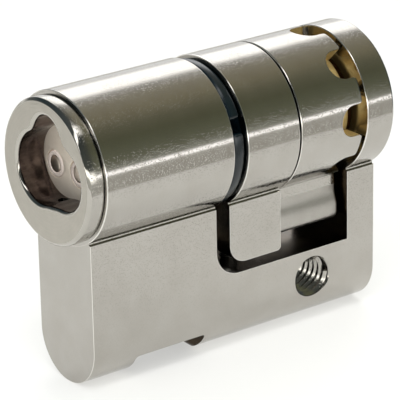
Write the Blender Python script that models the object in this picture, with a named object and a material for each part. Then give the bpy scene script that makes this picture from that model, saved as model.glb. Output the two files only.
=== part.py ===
"""Half euro profile cylinder with an electronic key mouth, built from its separate pieces.

The barrel lies along X with the key side towards -X. The flange points down, -Z.
The origin is on the barrel axis, straight above the fixing screw's hole.
"""
import bpy
import bmesh
from math import asin, cos, degrees, pi, radians, sin, sqrt
from mathutils import Matrix, Vector

MM = 0.001

# The standard profile: a round barrel over a flange with a round bottom edge.
barrel_r = 8.5 * MM
flange_half = 5.0 * MM
flange_low = 24.5 * MM
neck_inset = 0.25 * MM
neck_drop = 0.4 * MM
edge_chamfer = 0.3 * MM

# Stations along the barrel, counted from the fixing screw's hole.
front_x = -30.0 * MM
rear_x = 9.0 * MM
window_front_x = -13.4 * MM
window_floor_z = -15.4 * MM
window_corner = 3.0 * MM

# Clearances between neighbouring pieces.
fit_gap = 0.1 * MM
run_gap = 0.15 * MM
face_gap = 0.25 * MM
cam_slit = 0.5 * MM

# Walls, counted inwards from the barrel's surface.
housing_wall = 1.4 * MM
cap_step = 0.45 * MM
core_wall = 1.45 * MM
cam_wall = 2.3 * MM
rear_wall = 2.9 * MM

# Face cap and key mouth.
cap_proud = 1.95 * MM
mouth_depth = 3.55 * MM
contact_face_t = 1.9 * MM

# Snap ring between the housing and the spacer.
ring_w = 1.5 * MM
ring_step = 0.3 * MM
ring_split = 1.5 * MM
ring_split_angle = 160

# Spacer with the same profile as the housing.
spacer_l = 7.1 * MM
spacer_low_z = -14.25 * MM
spacer_corner = 2.2 * MM

# Cam, its lever and the hub inside it.
cam_l = 8.85 * MM
lever_low_r = 13.45 * MM
lever_tip_half = 4.0 * MM
lever_neck_half = 3.2 * MM
notch_count = 8
notch_w = 3.6 * MM
notch_l = 3.1 * MM
hub_hole_r = 1.15 * MM
hub_hole_floor_r = 3.6 * MM
key_w = 1.9 * MM

# Tail shaft with two flats.
shaft_r = 2.95 * MM
shaft_flat = 2.4 * MM

# Fixing screw hole through the flange.
screw_z = -18.75 * MM
screw_r = 2.15 * MM
screw_sink_r = 2.6 * MM

# Notch in the flange's bottom edge.
slot_x0 = front_x + 5.9 * MM
slot_x1 = window_front_x - 1.4 * MM
slot_z = -flange_low + 2.7 * MM

# Sprung contacts at the bottom of the key mouth, as (y, z).
main_contact = (3.4 * MM, -0.8 * MM)
side_contact = (-0.9 * MM, -0.8 * MM)
contact_r = 0.85 * MM
insulator_r = 1.45 * MM

# Locking pins worked by the actuator's cone.
pin_r = 0.8 * MM
pin_travel = 0.9 * MM
pin_collar_r = 1.1 * MM

# Hardened pins in the flange and the slotted pin that holds the spacer from below.
drill_pin_r = 1.2 * MM
drill_pin_top = -11.0 * MM
spacer_pin_r = 1.0 * MM
spacer_pin_z0 = -21.5 * MM
spacer_pin_z1 = -10.5 * MM

# Boards, actuator and seal inside the core.
board_t = 0.6 * MM
board_z = 2.85 * MM
seal_wire_r = 0.42 * MM
plunger_r = 0.95 * MM

# Radii that follow from the barrel and the walls.
core_r = barrel_r - housing_wall - run_gap
housing_bore_r = core_r + run_gap
core_bore_r = core_r - core_wall
cap_r = barrel_r - cap_step
ring_out_r = barrel_r - ring_step
ring_in_r = core_r - 0.5 * MM
cam_bore_r = barrel_r - cam_wall
rear_bore_r = barrel_r - rear_wall
seal_ring_r = core_r - 0.35 * MM
seal_floor_r = core_r - 0.85 * MM

# Stations that follow from front to rear.
cap_x0 = front_x - cap_proud
cap_x1 = front_x - face_gap
mouth_end_x = cap_x0 + mouth_depth
contact_face_x1 = mouth_end_x + contact_face_t
core_x0 = contact_face_x1 + fit_gap
seal_x = core_x0 + 1.0 * MM
board_x0 = contact_face_x1 + 1.7 * MM
frame_x0 = board_x0 + board_t + face_gap
core_stop_x = frame_x0 + 2.35 * MM
ring_x0 = window_front_x + run_gap
spacer_x0 = ring_x0 + ring_w + run_gap
spacer_x1 = spacer_x0 + spacer_l
core_end_x = spacer_x0 + 1.0 * MM
core_floor_x = core_end_x - 3.6 * MM
pin_x = core_floor_x - 1.8 * MM
cone_tip_x = pin_x - pin_r - 0.05 * MM
guide_x0 = pin_x - 1.6 * MM
guide_x1 = core_floor_x - fit_gap
frame_x1 = guide_x0 - 0.3 * MM
cam_x0 = spacer_x1 + face_gap
cam_x1 = cam_x0 + cam_l
window_rear_x = cam_x1 + cam_slit
cover_x0 = rear_x - 0.7 * MM
notch_x = cam_x1 - notch_l + notch_w / 2
shaft_x0 = core_end_x - 1.6 * MM
shaft_x1 = cover_x0 - 0.2 * MM
hub_x0 = cam_x0 + fit_gap
hub_x1 = cam_x1 - run_gap
hub_hole_x = notch_x - 0.4 * MM
key_x1 = cam_x0 + 4.85 * MM
key_z0 = -cam_bore_r - 1.3 * MM
key_z1 = -cam_bore_r + 1.2 * MM
lever_slot = notch_count // 2
spacer_pin_x = (spacer_x0 + spacer_x1) / 2
drill_pins = [(front_x + 2.8 * MM, -flange_low + 0.6 * MM), ((slot_x0 + slot_x1) / 2, slot_z + 0.2 * MM)]


def clear_scene():
    for item in list(bpy.data.objects):
        bpy.data.objects.remove(item, do_unlink=True)


def make_material(name, colour, metallic, roughness):
    material = bpy.data.materials.new(name)
    material.use_nodes = True
    shader = material.node_tree.nodes["Principled BSDF"]
    shader.inputs["Base Color"].default_value = (*colour, 1.0)
    shader.inputs["Metallic"].default_value = metallic
    shader.inputs["Roughness"].default_value = roughness
    return material


def steps_for(radius):
    if radius > 7.5 * MM:
        return 80
    if radius > 4.5 * MM:
        return 48
    if radius > 1.6 * MM:
        return 24
    return 16


def mesh_object(name, verts, faces):
    mesh = bpy.data.meshes.new(name)
    mesh.from_pydata([tuple(v) for v in verts], [], faces)
    bm = bmesh.new()
    bm.from_mesh(mesh)
    bmesh.ops.recalc_face_normals(bm, faces=bm.faces)
    bm.to_mesh(mesh)
    bm.free()
    obj = bpy.data.objects.new(name, mesh)
    bpy.context.scene.collection.objects.link(obj)
    return obj


def loft_x(name, sections):
    """Skin outlines of (y, z) points that stand at successive x stations."""
    count = len(sections[0][1])
    verts = [(x, y, z) for x, outline in sections for y, z in outline]
    faces = []
    for s in range(len(sections) - 1):
        for i in range(count):
            j = (i + 1) % count
            a, b = s * count, (s + 1) * count
            faces.append((a + i, a + j, b + j, b + i))
    faces.append(tuple(range(count)))
    last = (len(sections) - 1) * count
    faces.append(tuple(range(last, last + count)))
    return mesh_object(name, verts, faces)


def prism_y(name, outline, y0, y1):
    """Extrude an outline of (x, z) points along Y."""
    count = len(outline)
    verts = [(x, y, z) for y in (y0, y1) for x, z in outline]
    faces = [(i, (i + 1) % count, count + (i + 1) % count, count + i) for i in range(count)]
    faces += [tuple(range(count)), tuple(range(count, 2 * count))]
    return mesh_object(name, verts, faces)


def prism_z(name, outline, z0, z1):
    """Extrude an outline of (x, y) points along Z."""
    count = len(outline)
    verts = [(x, y, z) for z in (z0, z1) for x, y in outline]
    faces = [(i, (i + 1) % count, count + (i + 1) % count, count + i) for i in range(count)]
    faces += [tuple(range(count)), tuple(range(count, 2 * count))]
    return mesh_object(name, verts, faces)


def box(name, low, high):
    (x0, y0, z0), (x1, y1, z1) = low, high
    return prism_z(name, [(x0, y0), (x1, y0), (x1, y1), (x0, y1)], z0, z1)


def turned(name, profile, steps=None, closed=True):
    """Turn a profile of (x, radius) points about the X axis. A radius of 0 is a point."""
    if steps is None:
        steps = steps_for(max(r for _, r in profile))
    verts, rings = [], []
    for x, r in profile:
        if r <= 0:
            rings.append([len(verts)])
            verts.append((x, 0, 0))
        else:
            start = len(verts)
            for i in range(steps):
                a = 2 * pi * (i + 0.5) / steps
                verts.append((x, r * cos(a), r * sin(a)))
            rings.append(list(range(start, start + steps)))
    faces = []
    pairs = list(zip(rings, rings[1:]))
    if closed:
        pairs.append((rings[-1], rings[0]))
    for low, high in pairs:
        if len(low) == 1 and len(high) == 1:
            continue
        for i in range(steps):
            j = (i + 1) % steps
            if len(low) == 1:
                faces.append((low[0], high[j], high[i]))
            elif len(high) == 1:
                faces.append((low[i], low[j], high[0]))
            else:
                faces.append((low[i], low[j], high[j], high[i]))
    return mesh_object(name, verts, faces)


def rod(name, x0, x1, r, steps=None):
    return turned(name, [(x0, 0), (x0, r), (x1, r), (x1, 0)], steps, closed=False)


def tube(name, x0, x1, r_in, r_out, steps=None):
    return turned(name, [(x0, r_in), (x0, r_out), (x1, r_out), (x1, r_in)], steps)


def coil_x(name, x0, x1, coil_r, wire_r, turns, per_turn=10, sides=5):
    """Round-wire spring along X, its wire's ends cut square."""
    verts, faces = [], []
    total = int(turns * per_turn)
    low, high = x0 + wire_r, x1 - wire_r
    pitch = (high - low) / turns
    for i in range(total + 1):
        a = 2 * pi * i / per_turn
        centre = Vector((low + (high - low) * i / total, coil_r * cos(a), coil_r * sin(a)))
        along = Vector((pitch / (2 * pi), -coil_r * sin(a), coil_r * cos(a))).normalized()
        out = Vector((0, cos(a), sin(a)))
        side = along.cross(out)
        for k in range(sides):
            t = 2 * pi * k / sides
            verts.append(centre + out * (wire_r * cos(t)) + side * (wire_r * sin(t)))
    for i in range(total):
        for k in range(sides):
            m = (k + 1) % sides
            a, b = i * sides, (i + 1) * sides
            faces.append((a + k, a + m, b + m, b + k))
    faces.append(tuple(range(sides)))
    faces.append(tuple(range(total * sides, (total + 1) * sides)))
    return mesh_object(name, verts, faces)


def moved(obj, offset):
    obj.data.transform(Matrix.Translation(Vector(offset)))
    return obj


def turned_to(obj, angle, axis):
    obj.data.transform(Matrix.Rotation(angle, 4, axis))
    return obj


def cut(target, *cutters):
    """Take the cutters away from the target, one after the other."""
    for cutter in cutters:
        cutter.hide_render = True
        cutter.display_type = 'WIRE'
        step = target.modifiers.new("cut", 'BOOLEAN')
        step.operation = 'DIFFERENCE'
        step.solver = 'EXACT'
        step.object = cutter
        bpy.context.view_layer.objects.active = target
        bpy.ops.object.modifier_apply(modifier=step.name)
        bpy.data.objects.remove(cutter, do_unlink=True)
    return target


def finish(obj, material, origin=(0, 0, 0)):
    """Give a piece its material, put its origin on its own axis and shade it."""
    place = Vector(origin)
    obj.data.transform(Matrix.Translation(-place))
    obj.location = place
    bm = bmesh.new()
    bm.from_mesh(obj.data)
    bmesh.ops.remove_doubles(bm, verts=bm.verts, dist=0.000002)
    bmesh.ops.dissolve_degenerate(bm, edges=bm.edges, dist=0.000002)
    bmesh.ops.triangulate(bm, faces=[f for f in bm.faces if len(f.verts) > 4])
    bmesh.ops.recalc_face_normals(bm, faces=bm.faces)
    bm.to_mesh(obj.data)
    bm.free()
    obj.data.materials.clear()
    obj.data.materials.append(material)
    obj.data.shade_smooth()
    obj.data.set_sharp_from_angle(angle=radians(30))
    return obj


def arc(cy, cz, r, start, end, count):
    """Points on an arc, its angles in degrees."""
    out = []
    for i in range(count + 1):
        a = radians(start + (end - start) * i / count)
        out.append((cy + r * cos(a), cz + r * sin(a)))
    return out


def profile_outline(inset=0.0, low_z=None, steps=60):
    """Outline of the standard profile as (y, z), optionally cut off flat at low_z."""
    r = barrel_r - inset
    half = flange_half - inset
    neck = half - neck_inset
    meet = degrees_down(neck, r)
    points = arc(0, 0, r, -90 + meet, 270 - meet, steps)
    neck_z = -sqrt(barrel_r ** 2 - flange_half ** 2) - neck_drop
    points += [(-neck, neck_z), (-half, neck_z)]
    if low_z is None:
        round_z = -flange_low + flange_half
        points += arc(0, round_z, half, 180, 360, 28)
    else:
        points += [(-half, low_z), (half, low_z)]
    points += [(half, neck_z), (neck, neck_z)]
    return points


def degrees_down(y, r):
    """Angle from straight down to the point of a circle that lies y off its centre line."""
    return degrees(asin(y / r))


def mouth_outline(grow=0.0, count=64):
    """Lobed outline of the key mouth: a wide rounded slot with a round lobe on top."""
    circles = [(1.35 * MM, 0.05 * MM, 4.0 * MM), (-2.85 * MM, 0.05 * MM, 3.5 * MM),
               (-0.35 * MM, 3.75 * MM, 2.6 * MM), (-0.6 * MM, 0.0, 3.65 * MM)]
    radii = []
    for i in range(count):
        a = 2 * pi * i / count
        best = 0.0
        for cy, cz, r in circles:
            along = cy * cos(a) + cz * sin(a)
            inside = (r + grow) ** 2 - cy * cy - cz * cz + along * along
            if inside > 0:
                best = max(best, along + sqrt(inside))
        radii.append(best)
    for _ in range(3):
        radii = [(radii[i - 1] + radii[i] + radii[(i + 1) % count]) / 3 for i in range(count)]
    return [(r * cos(2 * pi * i / count), r * sin(2 * pi * i / count))
            for i, r in enumerate(radii)]


def flatted_outline(r, half):
    """A circle with a flat on its left and right side."""
    points = []
    for i in range(32):
        a = 2 * pi * i / 32
        points.append((max(-half, min(half, r * cos(a))), r * sin(a)))
    return points



def build_housing():
    body = loft_x("housing", [
        (front_x, profile_outline(edge_chamfer)),
        (front_x + edge_chamfer, profile_outline()),
        (rear_x - edge_chamfer, profile_outline()),
        (rear_x, profile_outline(edge_chamfer))])
    top = 12 * MM
    corner = [(x, z) for x, z in arc(window_front_x + window_corner, window_floor_z + window_corner,
                                     window_corner, 180, 270, 10)]
    window = prism_y("window", [(window_front_x, top)] + corner
                     + [(window_rear_x, window_floor_z), (window_rear_x, top)], -12 * MM, 12 * MM)
    bore = rod("bore", front_x - 1 * MM, window_front_x + 1 * MM, housing_bore_r)
    rear_bore = rod("rear_bore", window_rear_x - 1 * MM, rear_x + 1 * MM, rear_bore_r)
    notch = box("notch", (slot_x0, -8 * MM, -flange_low - 2 * MM), (slot_x1, 8 * MM, slot_z))
    screw = turned("screw", [(-8 * MM, 0), (-8 * MM, screw_sink_r), (-flange_half, screw_sink_r),
                             (-flange_half + screw_sink_r - screw_r, screw_r),
                             (flange_half - screw_sink_r + screw_r, screw_r),
                             (flange_half, screw_sink_r), (8 * MM, screw_sink_r), (8 * MM, 0)],
                   32, closed=False)
    moved(turned_to(screw, pi / 2, 'Z'), (0, 0, screw_z))
    cut(body, window, bore, rear_bore, notch, screw)
    for side in (1, -1):
        pocket = rod("pocket", 6.5 * MM, core_r + pin_travel + run_gap, pin_r + run_gap)
        cut(body, moved(turned_to(pocket, -side * pi / 2, 'Y'), (pin_x, 0, 0)))
    for x, low in drill_pins:
        hole = rod("hole", low - 2 * MM, drill_pin_top + run_gap, drill_pin_r + fit_gap)
        cut(body, moved(turned_to(hole, -pi / 2, 'Y'), (x, 0, 0)))
    hole = rod("hole", spacer_pin_z0 - fit_gap, window_floor_z + 1 * MM, spacer_pin_r + fit_gap)
    cut(body, moved(turned_to(hole, -pi / 2, 'Y'), (spacer_pin_x, 0, 0)))
    return finish(body, nickel)


def build_drill_pins():
    for name, (x, low) in zip(("front_drill_pin", "rear_drill_pin"), drill_pins):
        high, tip = drill_pin_top, 0.6 * MM
        pin = turned(name, [(low, 0), (low, drill_pin_r), (high - tip, drill_pin_r),
                            (high, drill_pin_r * 0.4), (high, 0)], closed=False)
        finish(moved(turned_to(pin, -pi / 2, 'Y'), (x, 0, 0)), hard_steel, (x, 0, low))


def build_spacer():
    body = loft_x("profile_spacer", [
        (spacer_x0, profile_outline(0.12 * MM, spacer_low_z)),
        (spacer_x0 + 0.12 * MM, profile_outline(0.0, spacer_low_z)),
        (spacer_x1 - 0.06 * MM, profile_outline(0.0, spacer_low_z)),
        (spacer_x1, profile_outline(0.06 * MM, spacer_low_z))])
    r = spacer_corner
    far = 4 * MM
    corner = [(spacer_x0 - far, spacer_low_z - far), (spacer_x0 + r, spacer_low_z - far)]
    corner += [(x, z) for x, z in arc(spacer_x0 + r, spacer_low_z + r, r, 270, 180, 10)]
    corner += [(spacer_x0 - far, spacer_low_z + r)]
    small = 0.5 * MM
    heel = [(spacer_x1 + far, spacer_low_z - far), (spacer_x1 + far, spacer_low_z + small)]
    heel += [(x, z) for x, z in arc(spacer_x1 - small, spacer_low_z + small, small, 0, -90, 5)]
    heel += [(spacer_x1 - small, spacer_low_z - far)]
    cut(body, prism_y("corner", corner, -8 * MM, 8 * MM), prism_y("heel", heel, -8 * MM, 8 * MM))
    cut(body, rod("seat", spacer_x0 - 1 * MM, core_end_x + run_gap, housing_bore_r))
    cut(body, rod("bore", spacer_x0, spacer_x1 + 1 * MM, shaft_r + run_gap, 32))
    hole = rod("hole", -20 * MM, spacer_pin_z1 + fit_gap, spacer_pin_r + fit_gap)
    cut(body, moved(turned_to(hole, -pi / 2, 'Y'), (spacer_pin_x, 0, 0)))
    return finish(body, nickel)


def split_outline(r_in, r_out, gap, middle, count=28):
    """Open ring in the (y, z) plane, its slit at the angle called middle, in degrees."""
    outer, inner = [], []
    for i in range(count + 1):
        part = i / count
        for r, out in ((r_out, outer), (r_in, inner)):
            half = gap / (2 * r)
            a = radians(middle) + half + (2 * pi - 2 * half) * part
            out.append((r * cos(a), r * sin(a)))
    return outer + inner[::-1]


def build_spacer_pin():
    ring = split_outline(spacer_pin_r - 0.4 * MM, spacer_pin_r, 0.35 * MM, 90, 14)
    pin = loft_x("spacer_pin", [(spacer_pin_z0, ring), (spacer_pin_z1, ring)])
    finish(moved(turned_to(pin, -pi / 2, 'Y'), (spacer_pin_x, 0, 0)), hard_steel,
           (spacer_pin_x, 0, spacer_pin_z0))


def build_rear_end():
    bush = turned("rear_bush", [(window_rear_x, shaft_r + run_gap), (window_rear_x, rear_bore_r - fit_gap),
                                (cover_x0 - fit_gap, rear_bore_r - fit_gap),
                                (cover_x0 - fit_gap, shaft_r + run_gap)])
    finish(bush, bronze)
    r = rear_bore_r - fit_gap
    cover = turned("end_cover", [(cover_x0, 0), (cover_x0, r), (rear_x - 0.2 * MM, r),
                                 (rear_x, r - 0.2 * MM), (rear_x, 0)], closed=False)
    for side in (1, -1):
        hole = rod("hole", rear_x - 0.4 * MM, rear_x + 1 * MM, 0.6 * MM)
        cut(cover, moved(hole, (0, side * 3.4 * MM, 0)))
    finish(cover, nickel)



def build_face_cap():
    bevel = 0.5 * MM
    cap = turned("face_cap", [
        (cap_x0, 0), (cap_x0, cap_r - bevel), (cap_x0 + 0.12 * MM, cap_r - 0.3 * bevel),
        (cap_x0 + bevel, cap_r), (cap_x1 - 0.15 * MM, cap_r), (cap_x1, cap_r - 0.15 * MM),
        (cap_x1, core_r), (mouth_end_x - fit_gap, core_r), (mouth_end_x - fit_gap, 0)],
        closed=False)
    lip = 0.28 * MM
    mouth = loft_x("mouth", [
        (cap_x0 - 1 * MM, mouth_outline(lip)), (cap_x0, mouth_outline(lip)),
        (cap_x0 + 0.3 * lip, mouth_outline(0.45 * lip)), (cap_x0 + lip, mouth_outline()),
        (mouth_end_x + 1 * MM, mouth_outline())])
    cut(cap, mouth)
    catch = rod("catch", -4.6 * MM, -2.4 * MM, 0.5 * MM)
    cut(cap, moved(turned_to(catch, -pi / 2, 'Y'), (cap_x0 + 2.75 * MM, 0.8 * MM, 0)))
    return finish(cap, nickel)


def build_contact_face():
    disc = turned("contact_face", [
        (mouth_end_x, 0), (mouth_end_x, core_r), (contact_face_x1, core_r), (contact_face_x1, 0)],
        closed=False)
    for y, z in (main_contact, side_contact):
        hole = rod("hole", mouth_end_x - 1 * MM, contact_face_x1 + 1 * MM, insulator_r + fit_gap, 20)
        cut(disc, moved(hole, (0, y, z)))
    return finish(disc, rose_steel)


def build_contact(prefix, place, spring_turns):
    y, z = place
    back = contact_face_x1
    ring = turned(prefix + "_insulator", [
        (mouth_end_x + 0.05 * MM, contact_r + fit_gap), (mouth_end_x + 0.05 * MM, insulator_r),
        (back, insulator_r), (back, contact_r + fit_gap)], 20)
    finish(moved(ring, (0, y, z)), grey_plastic, (back, y, z))
    head = turned(prefix + "_contact", [
        (mouth_end_x - 0.1 * MM, 0), (mouth_end_x - 0.1 * MM, contact_r * 0.75),
        (mouth_end_x, contact_r), (back + fit_gap, contact_r), (back + fit_gap, insulator_r * 0.85),
        (back + 3 * fit_gap, insulator_r * 0.85), (back + 3 * fit_gap, 0)], 16, closed=False)
    finish(moved(head, (0, y, z)), contact_metal, (back, y, z))
    spring = coil_x(prefix + "_spring", back + 3.5 * fit_gap, board_x0 - fit_gap,
                    0.8 * MM, 0.13 * MM, spring_turns)
    finish(moved(spring, (0, y, z)), spring_steel, (back, y, z))


def build_sleeve():
    groove = 0.75 * MM
    r = core_r
    body = turned("core_sleeve", [
        (core_x0, core_bore_r), (core_x0, r),
        (seal_x - 0.6 * MM, r), (seal_x - 0.6 * MM, seal_floor_r), (seal_x + 0.6 * MM, seal_floor_r),
        (seal_x + 0.6 * MM, r), (ring_x0 - fit_gap, r), (ring_x0 - fit_gap, r - groove),
        (ring_x0 + ring_w + fit_gap, r - groove), (ring_x0 + ring_w + fit_gap, r),
        (core_end_x, r), (core_end_x, 0), (core_floor_x, 0), (core_floor_x, core_bore_r)])
    socket = loft_x("socket", [(shaft_x0 - fit_gap, flatted_outline(shaft_r + fit_gap, shaft_flat + fit_gap)),
                               (core_end_x + 1 * MM, flatted_outline(shaft_r + fit_gap, shaft_flat + fit_gap))])
    cut(body, socket)
    for side in (1, -1):
        hole = rod("hole", core_bore_r - 1 * MM, core_r + 1 * MM, pin_r + fit_gap)
        cut(body, moved(turned_to(hole, -side * pi / 2, 'Y'), (pin_x, 0, 0)))
    return finish(body, brass)


def build_seal():
    count = 8
    profile = []
    for i in range(count):
        a = 2 * pi * i / count
        profile.append((seal_x + seal_wire_r * cos(a), seal_ring_r + seal_wire_r * sin(a)))
    finish(turned("core_seal", profile, 36), rubber)


def build_snap_ring():
    ring = split_outline(ring_in_r, ring_out_r, ring_split, ring_split_angle, 44)
    small = split_outline(ring_in_r, ring_out_r - 0.15 * MM, ring_split, ring_split_angle, 44)
    edge = 0.15 * MM
    piece = loft_x("snap_ring", [(ring_x0, small), (ring_x0 + edge, ring),
                                 (ring_x0 + ring_w - edge, ring), (ring_x0 + ring_w, small)])
    finish(piece, black_steel)


def build_boards():
    plate = rod("contact_board", board_x0, board_x0 + board_t, core_bore_r - run_gap, 40)
    finish(plate, board_green)
    x0, x1 = frame_x0, frame_x1
    half = sqrt(core_bore_r ** 2 - (board_z + board_t) ** 2) - run_gap
    finish(box("circuit_board", (x0, -half, board_z), (x1, half, board_z + board_t)), board_green)
    top = board_z + board_t + 0.05 * MM
    finish(box("chip", (x0 + 1.0 * MM, -2.0 * MM, top), (x0 + 4.2 * MM, 2.0 * MM, top + 0.8 * MM)),
           black_plastic)
    can = turned("capacitor", [(x0 + 0.4 * MM, 0), (x0 + 0.4 * MM, 1.0 * MM), (x0 + 0.6 * MM, 1.15 * MM),
                               (x1 - 0.8 * MM, 1.15 * MM), (x1 - 0.6 * MM, 1.0 * MM),
                               (x1 - 0.6 * MM, 0)], 16, closed=False)
    finish(moved(can, (0, 0, -4.05 * MM)), aluminium, (x0, 0, -4.05 * MM))


def build_actuator():
    plate = 0.6 * MM
    half, strap = 2.5 * MM, 0.45 * MM
    outline = [(frame_x0, -half), (frame_x1, -half), (frame_x1, half + strap),
               (frame_x0, half + strap)]
    frame = prism_z("actuator_frame", outline, -half, half)
    inner = box("inner", (frame_x0 + plate, -half - 1 * MM, -half - 1 * MM),
                (frame_x1 - plate, half, half + 1 * MM))
    cut(frame, inner)
    cut(frame, rod("hole", frame_x0 - 1 * MM, frame_x1 + 1 * MM, plunger_r + run_gap))
    finish(frame, zinc_steel)
    x0, x1 = frame_x0 + plate + fit_gap, frame_x1 - plate - fit_gap
    wall, flange, outer = 1.15 * MM, 0.3 * MM, 2.2 * MM
    drum = turned("coil_bobbin", [
        (x0, wall), (x0, outer), (x0 + flange, outer), (x0 + flange, wall + 0.2 * MM),
        (x1 - flange, wall + 0.2 * MM), (x1 - flange, outer), (x1, outer), (x1, wall)], 20)
    finish(drum, black_plastic)
    finish(tube("actuator_coil", x0 + flange + fit_gap / 2, x1 - flange - fit_gap / 2,
                wall + 0.25 * MM, 2.05 * MM, 20), copper)
    core = rod("actuator_core", frame_x0 - 0.1 * MM, core_stop_x, plunger_r)
    finish(core, hard_steel)
    plunger = turned("actuator_plunger", [
        (core_stop_x + 0.15 * MM, 0), (core_stop_x + 0.15 * MM, plunger_r),
        (cone_tip_x - plunger_r, plunger_r), (cone_tip_x, 0)], closed=False)
    finish(plunger, hard_steel)
    guide_r = core_bore_r - run_gap
    guide = turned("pin_guide", [(guide_x0, 0), (guide_x0, guide_r), (guide_x1, guide_r),
                                 (guide_x1, 0)], 40, closed=False)
    cut(guide, rod("hole", guide_x0 - 1 * MM, guide_x1 - 0.6 * MM, plunger_r + 0.2 * MM))
    cross = rod("cross", -8 * MM, 8 * MM, pin_collar_r + run_gap)
    cut(guide, moved(turned_to(cross, -pi / 2, 'Y'), (pin_x, 0, 0)))
    finish(guide, bronze)


def build_locking_pins():
    for side, name in ((1, "upper"), (-1, "lower")):
        low, high = 0.2 * MM, core_r - 0.1 * MM
        collar = 1.6 * MM
        pin = turned(name + "_locking_pin", [
            (low, 0), (low, 0.3 * MM), (low + 0.5 * MM, pin_r), (collar, pin_r),
            (collar, pin_collar_r), (collar + 0.4 * MM, pin_collar_r), (collar + 0.4 * MM, pin_r),
            (high - 0.15 * MM, pin_r), (high, pin_r - 0.15 * MM), (high, 0)], 16, closed=False)
        turned_to(pin, -side * pi / 2, 'Y')
        finish(moved(pin, (pin_x, 0, 0)), hard_steel, (pin_x, 0, 0))
        spring = coil_x(name + "_pin_spring", collar + 0.45 * MM, core_bore_r - 0.1 * MM,
                        1.0 * MM, 0.1 * MM, 4)
        turned_to(spring, -side * pi / 2, 'Y')
        finish(moved(spring, (pin_x, 0, 0)), spring_steel, (pin_x, 0, 0))



def build_shaft():
    full = flatted_outline(shaft_r, shaft_flat)
    shaft = loft_x("tail_shaft", [(shaft_x0, full), (shaft_x1, full)])
    finish(shaft, hard_steel)


def build_hub():
    r = cam_bore_r - run_gap
    hub = turned("cam_hub", [(hub_x0, 0), (hub_x0, r - 0.2 * MM), (hub_x0 + 0.2 * MM, r),
                             (hub_x1 - 0.3 * MM, r), (hub_x1, r - 0.3 * MM), (hub_x1, 0)],
                 closed=False)
    flat = flatted_outline(shaft_r + fit_gap, shaft_flat + fit_gap)
    cut(hub, loft_x("bore", [(hub_x0 - 1 * MM, flat), (hub_x1 + 1 * MM, flat)]))
    for i in range(notch_count):
        hole = rod("hole", hub_hole_floor_r, 9 * MM, hub_hole_r)
        turned_to(hole, pi / 2, 'Z')
        turned_to(hole, 2 * pi * i / notch_count, 'X')
        cut(hub, moved(hole, (hub_hole_x, 0, 0)))
    cut(hub, box("slot", (hub_x0 - 1 * MM, -key_w / 2 - fit_gap, -9 * MM),
                 (key_x1 + fit_gap, key_w / 2 + fit_gap, key_z1 + fit_gap)))
    finish(hub, brass)


def build_cam_key():
    key = box("cam_key", (hub_x0, -key_w / 2, key_z0), (key_x1, key_w / 2, key_z1))
    finish(key, hard_steel, (0, 0, key_z0))


def lever_outline(inset):
    """Cam in the (y, z) plane: a ring with a lever that has a neck and a round tip."""
    r = barrel_r - inset
    neck, tip = lever_neck_half - inset, lever_tip_half - inset
    low = lever_low_r - inset
    meet = degrees_down(neck, r)
    points = arc(0, 0, r, -90 + meet, 270 - meet, 64)
    join = sqrt(r * r - neck * neck)
    drop = low - join
    left = [(-neck - (tip - neck) * out, -join - drop * part) for out, part in
            ((0.0, 0.27), (0.15, 0.4), (0.6, 0.52), (1.0, 0.64), (1.0, 0.78), (0.6, 0.89))]
    foot = []
    for i in range(9):
        y = (-tip + 1.0 * MM) + (2 * tip - 2.0 * MM) * i / 8
        foot.append((y, -sqrt(low ** 2 - y * y)))
    return points + left + foot + [(-y, z) for y, z in left[::-1]]


def build_cam():
    edge = 0.3 * MM
    body = loft_x("cam", [(cam_x0, lever_outline(0.08 * MM)), (cam_x0 + 0.08 * MM, lever_outline(0.0)),
                          (cam_x1 - edge, lever_outline(0.0)), (cam_x1, lever_outline(edge))])
    cut(body, rod("bore", cam_x0 - 1 * MM, cam_x1 + 1 * MM, cam_bore_r))
    half = notch_w / 2
    slot = [(cam_x1 + 1 * MM, -half), (cam_x1 + 1 * MM, half)]
    slot += [(x, y) for x, y in arc(notch_x, 0, half, 90, 270, 10)]
    for i in range(notch_count):
        if i == lever_slot:
            continue
        notch = prism_z("notch", slot, 5.5 * MM, 10 * MM)
        cut(body, turned_to(notch, 2 * pi * i / notch_count, 'X'))
    cut(body, box("slot", (cam_x0 - 1 * MM, -key_w / 2 - fit_gap, key_z0 - fit_gap),
                  (key_x1 + fit_gap, key_w / 2 + fit_gap, -5.5 * MM)))
    finish(body, nickel)


def build_index_pin():
    low, high = cam_bore_r - 1.2 * MM, barrel_r - 0.6 * MM
    r = hub_hole_r - fit_gap
    pin = turned("index_pin", [(low, 0), (low, r), (high - 0.4 * MM, r), (high, r - 0.5 * MM),
                               (high, 0)], closed=False)
    turned_to(pin, pi / 2, 'Z')
    finish(moved(pin, (hub_hole_x, 0, 0)), hard_steel, (hub_hole_x, 0, 0))
    spring = coil_x("index_pin_spring", hub_hole_floor_r + 0.03 * MM, low - 0.03 * MM,
                    0.8 * MM, 0.13 * MM, 3)
    turned_to(spring, pi / 2, 'Z')
    finish(moved(spring, (hub_hole_x, 0, 0)), spring_steel, (hub_hole_x, 0, 0))


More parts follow.
